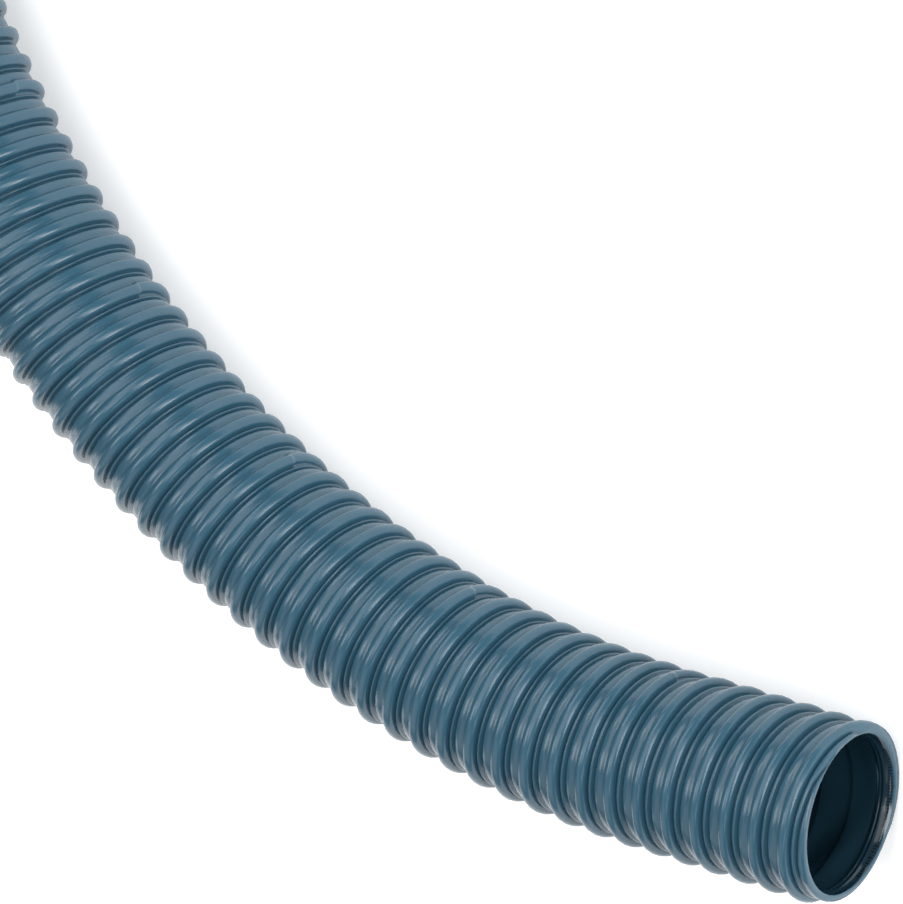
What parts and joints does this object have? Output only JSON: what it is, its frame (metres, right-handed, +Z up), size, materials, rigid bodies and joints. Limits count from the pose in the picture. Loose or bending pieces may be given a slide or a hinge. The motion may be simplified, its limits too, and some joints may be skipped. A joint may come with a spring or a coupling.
{
  "type": "flexible sewer hose",
  "caption": "Flexible vinyl sewer hose with a round helical bead outside and a smooth bore, cut square at both ends and lying in a loose quarter bend.",
  "frame": {"origin": "middle of the hose's footprint, on the floor that it lies on", "axes": "+Z up from the floor, +X out of the mouth, +Y out of the far end"},
  "size_m": [0.6894, 1.1514, 0.0889],
  "materials": {
    "vinyl": "blue-grey flexible vinyl with a soft gloss"
  },
  "bodies": {
    "root": {"hose": "vinyl"}
  },
  "joints": []
}
